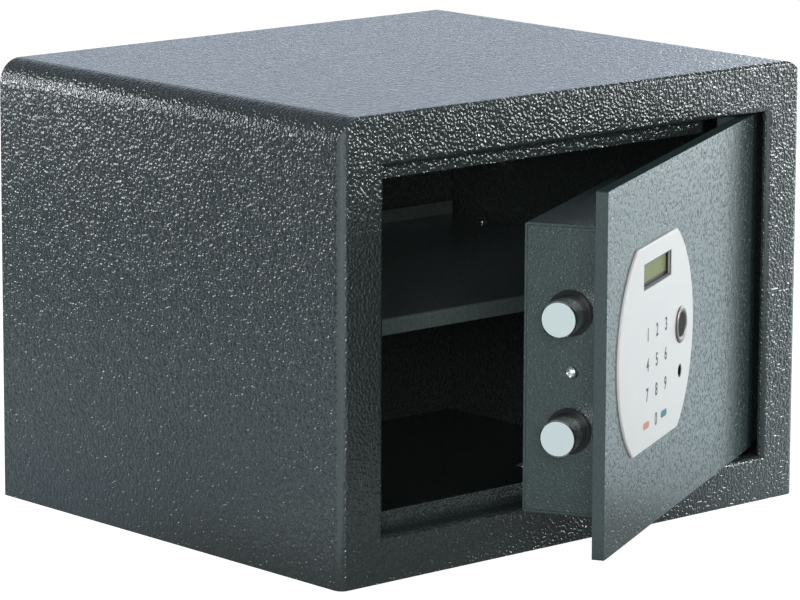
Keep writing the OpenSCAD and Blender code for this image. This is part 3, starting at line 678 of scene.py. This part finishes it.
class SAFE_OT_lock_metal(bpy.types.Operator):
    """Chrome bolts in black bushes, and plated steel, brass and plastic on the works"""

    bl_idname = "safe.lock_metal"
    bl_label = "Lock metal"

    def execute(self, context):
        lock = context.scene.safe_lock_metal
        chrome = turned_chrome("bolt_chrome", tuple(lock.chrome))
        dress(chrome, "locking_bolt_upper", "locking_bolt_lower")
        dress(
            plated_steel("zinc_steel", tuple(lock.zinc)),
            "shelf_screws",
            "battery_cover_screw",
            "bolt_carriage",
            "bolt_screws",
            "carriage_rack",
            "motor",
            "motor_bracket",
            "board_posts",
            "panel_screws",
            "output_shaft",
        )
        dress(plated_steel("bright_zinc", (0.86, 0.90, 0.88), 0.2), "case_screws")
        # Hinge pins and washers are painted near black: painted shade for the dark gap at the
        # hinge
        painted_shade_metal = plated_steel("painted_shade_steel", (0.06, 0.065, 0.07))
        dress(painted_shade_metal, "hinge_pins", "hinge_washers")
        dress(plated_steel("gear_brass", (0.74, 0.60, 0.28), 0.28), "drive_pinion")
        # The hinge lugs are painted near black as well: painted shade
        lug = moulded("painted_shade_lug", (0.012, 0.014, 0.014), 0.4)
        dress(lug, "hinge_lug_top", "hinge_lug_bottom")
        dress(
            moulded("black_plastic", tuple(lock.bushes), 0.42, sheen=0.3),
            "bolt_bush_upper",
            "bolt_bush_lower",
            "rack_guide",
            "limit_switches",
            "battery_tray",
            "power_jack",
        )
        dress(moulded("gear_plastic", (0.72, 0.72, 0.68)), "gearbox")
        board = moulded("circuit_green", (0.03, 0.14, 0.06), 0.35)
        dress(board, "control_board", "keypad_board")
        dress(moulded("cable_grey", (0.55, 0.55, 0.57)), "keypad_cable")
        dress(moulded("cell_sleeve", (0.10, 0.13, 0.24), 0.3), "battery_cells")
        dress(moulded("button_red", (0.5, 0.04, 0.03), 0.3), "reset_button")
        return {"FINISHED"}


class SAFE_OT_keypad(bpy.types.Operator):
    """White keypad panel with its printed digits and bars, display and reader"""

    bl_idname = "safe.keypad"
    bl_label = "Keypad"

    def execute(self, context):
        keypad = context.scene.safe_keypad
        dress(moulded("panel_white", tuple(keypad.colour), 0.4), "keypad_panel")
        dress(display_lens("display_lens"), "display_glass")
        dress(pocket_frame("pocket_frame"), "display_bezel")
        dress(plated_steel("reader_metal", (0.23, 0.21, 0.19), 0.42), "reader_ring")
        dress(moulded("reader_lens", (0.026, 0.022, 0.019), 0.5, sheen=0.03), "reader_disc")

        ink = moulded("digit_ink", tuple(keypad.digit_ink))
        for digit, column, row in self.digits():
            x = DIGITS_X + column * keypad.column_pitch
            z = LOWEST_ROW_Z + row * keypad.row_pitch
            self.print_digit(digit, self.on_panel(x, z), keypad.digit_height, ink)
        orange = moulded("orange_ink", tuple(keypad.left_ink))
        teal = moulded("teal_ink", tuple(keypad.right_ink))
        self.print_bar("orange_bar", self.on_panel(ORANGE_BAR_X, LOWEST_ROW_Z), orange)
        self.print_bar("teal_bar", self.on_panel(TEAL_BAR_X, LOWEST_ROW_Z), teal)
        return {"FINISHED"}

    def digits(self):
        """Each digit with its column and row: 0 in row 0, 7 8 9 in row 1, up to 1 2 3 in row 3."""
        yield "0", 0, 0
        for row in (1, 2, 3):
            for column in (-1, 0, 1):
                yield str(3 * (3 - row) + column + 2), column, row

    def on_panel(self, x, z):
        """A place on the shut door's panel, x from the plate's free edge and z from the base."""
        return PLATE_LOW[0] + x, PANEL_LOW[1] - INK_LIFT, z

    def print_bar(self, name, place, ink):
        """A plain bar: two half circles of BAR_RADIUS, moved apart by a straight part."""
        angles = np.linspace(-math.pi / 2, 3 * math.pi / 2, 49)[:-1]
        apart = np.where(np.cos(angles) >= 0, BAR_HALF_STRAIGHT, -BAR_HALF_STRAIGHT)
        x = place[0] + apart + BAR_RADIUS * np.cos(angles)
        y = np.full(len(angles), place[1])
        z = place[2] + BAR_RADIUS * np.sin(angles)
        outline = swing(np.stack([x, y, z], -1))
        mesh_piece(name, outline, [tuple(range(len(angles)))], "door", ink)

    def print_digit(self, digit, place, height, ink):
        """A digit of ink: the font's flat outline, centred, scaled to height and stood upright."""
        curve = bpy.data.curves.new("digit", "FONT")
        curve.body = digit
        curve.size = 1.0
        curve.offset = INK_SPREAD
        text = bpy.data.objects.new("digit", curve)
        bpy.context.scene.collection.objects.link(text)
        bpy.context.view_layer.update()
        evaluated = text.evaluated_get(bpy.context.evaluated_depsgraph_get())
        mesh = bpy.data.meshes.new_from_object(evaluated)
        flat = vertices(mesh)
        faces = [tuple(polygon.vertices) for polygon in mesh.polygons]
        bpy.data.objects.remove(text)
        bpy.data.curves.remove(curve)
        bpy.data.meshes.remove(mesh)

        low, high = flat.min(0), flat.max(0)
        flat = (flat - (low + high) / 2) * (height / (high[1] - low[1]))
        x = place[0] + DIGIT_WIDTH * flat[:, 0]
        y = np.full(len(flat), place[1])
        z = place[2] + flat[:, 1]
        points = swing(np.stack([x, y, z], -1))
        mesh_piece("digit_" + digit, points, faces, "door", ink)


class SAFE_OT_stage(bpy.types.Operator):
    """Pale floor, soft studio light and the camera"""

    bl_idname = "safe.stage"
    bl_label = "Stage"

    def execute(self, context):
        self.floor()
        self.world(context.scene)
        self.lamps()
        self.camera(context.scene)
        return {"FINISHED"}

    def floor(self):
        """A level square, near white to the camera. Its patches glow only for reflected rays,
        painted reflections on polished faces.
        """
        r = FLOOR_REACH
        mesh = bpy.data.meshes.new("floor")
        mesh.from_pydata([(-r, -r, 0), (r, -r, 0), (r, r, 0), (-r, r, 0)], [], [(0, 1, 2, 3)])
        tree = Tree(bpy.data.materials.new("floor"))
        rays = tree.add("ShaderNodeLightPath").outputs
        coords = tree.add("ShaderNodeTexCoord").outputs["Object"]
        x, y, _ = tree.add("ShaderNodeSeparateXYZ", {0: coords}).outputs

        patches = {
            side: tree.multiply(tree.fade(x, *across, top), tree.fade(y, *along))
            for side, (across, along, top) in FLOOR_GLOW_PATCHES.items()
        }
        slanted = tree.math("ADD", y, tree.span(x, (0.0, SLANT_RUN), (0.0, SLANT)))
        patches["right"] = tree.multiply(patches["right"], tree.fade(slanted, *RIGHT_PATCH_EDGE))
        # Glow seen only by reflected rays: painted reflections on the object's polished faces
        reflected_glow = tree.most(
            tree.most(patches["right"], patches["front"]),
            tree.most(patches["left"], patches["behind"]),
        )
        far = tree.multiply(tree.span(y, FAR_Y, (0.0, 1.0)), tree.span(x, FAR_X, (1.0, 0.0)))
        tint = tree.blend(far, FLOOR_GLOW_TINT, FAR_GLOW_TINT)
        tree.set(
            Base_Color=FLOOR_GREY,
            Roughness=0.8,
            Specular_IOR_Level=0.0,
            Emission_Color=tree.blend(rays["Is Camera Ray"], tint, WHITE),
            Emission_Strength=tree.most(
                tree.multiply(rays["Is Camera Ray"], FLOOR_SEEN),
                tree.multiply(rays["Is Glossy Ray"], reflected_glow),
            ),
        )
        mesh.materials.append(tree.owner)
        floor = bpy.data.objects.new("floor", mesh)
        bpy.context.scene.collection.objects.link(floor)

    def world(self, scene):
        """White to the camera. The object sees a pale backdrop low behind its right side.

        Everywhere else it sees a dim, bluish room.
        """
        world = bpy.data.worlds.new("studio")
        tree = Tree(world, "Background")
        direction = tree.add("ShaderNodeTexCoord").outputs["Generated"]
        toward = tree.add(
            "ShaderNodeVectorMath", {0: direction, 1: BACKDROP_SIDE}, operation="DOT_PRODUCT"
        ).outputs["Value"]
        strengths = (ROOM_STRENGTH, BACKDROP_STRENGTH)
        backdrop = tree.span(toward, BACKDROP_EDGE, strengths, "SMOOTHSTEP")
        camera_ray = tree.add("ShaderNodeLightPath").outputs["Is Camera Ray"]
        tree.set(
            Color=tree.blend(camera_ray, ROOM_TINT, WHITE),
            Strength=tree.add("ShaderNodeMix", {0: camera_ray, 2: backdrop, 3: 1.0}).outputs[0],
        )
        scene.world = world

    def lamps(self):
        """Softboxes that light the object and stay out of the camera's sight."""
        for name, (place, aim, size, radiance) in SOFTBOXES.items():
            lamp = bpy.data.lights.new(name, "AREA")
            lamp.shape = "RECTANGLE"
            lamp.size, lamp.size_y = size
            lamp.energy = radiance * math.pi * size[0] * size[1]
            lamp.color = LAMP_COLOUR
            softbox = bpy.data.objects.new(name, lamp)
            softbox.location = place
            direction = Vector(aim) - Vector(place)
            softbox.rotation_euler = direction.to_track_quat("-Z", "Y").to_euler()
            softbox.visible_camera = False
            bpy.context.scene.collection.objects.link(softbox)

    def camera(self, scene):
        """The camera, turned to look along its azimuth and elevation, and then rolled."""
        stage = scene.safe_stage
        lens = bpy.data.cameras.new("camera")
        lens.sensor_width = SENSOR_WIDTH
        lens.lens = stage.lens
        lens.clip_start = 0.1
        lens.clip_end = 30
        camera = bpy.data.objects.new("camera", lens)
        azimuth, elevation = -stage.azimuth, stage.elevation
        back = Vector(
            (
                math.sin(azimuth) * math.cos(elevation),
                -math.cos(azimuth) * math.cos(elevation),
                math.sin(elevation),
            )
        )
        look = (-back).to_track_quat("-Z", "Y").to_matrix()
        turn = look @ Matrix.Rotation(stage.roll, 3, "Z")
        camera.matrix_world = Matrix.Translation(stage.camera_place) @ turn.to_4x4()
        scene.collection.objects.link(camera)
        scene.camera = camera
        scene.view_settings.view_transform = "Standard"


class SAFE_PT_panel(bpy.types.Panel):
    """The safe's finishes, in the order in which they are made"""

    bl_label = "Electronic safe"
    bl_space_type = "VIEW_3D"
    bl_region_type = "UI"
    bl_category = "Safe"

    def draw(self, context):
        for operator in OPERATORS:
            self.layout.operator(operator.bl_idname)


SETTINGS = {
    "safe_body_paint": BodyPaintSettings,
    "safe_door_paint": DoorPaintSettings,
    "safe_lock_metal": LockMetalSettings,
    "safe_keypad": KeypadSettings,
    "safe_stage": StageSettings,
}
OPERATORS = (
    SAFE_OT_body_paint,
    SAFE_OT_door_paint,
    SAFE_OT_lock_metal,
    SAFE_OT_keypad,
    SAFE_OT_stage,
)


def register():
    for group in (*SETTINGS.values(), *OPERATORS, SAFE_PT_panel):
        bpy.utils.register_class(group)
    for name, group in SETTINGS.items():
        setattr(bpy.types.Scene, name, PointerProperty(type=group))


def unregister():
    for name in SETTINGS:
        delattr(bpy.types.Scene, name)
    for group in (SAFE_PT_panel, *OPERATORS, *SETTINGS.values()):
        bpy.utils.unregister_class(group)


def main():
    register()
    bpy.ops.safe.body_paint()
    bpy.ops.safe.door_paint()
    bpy.ops.safe.lock_metal()
    bpy.ops.safe.keypad()
    bpy.ops.safe.stage()


if __name__ == "__main__":
    main()
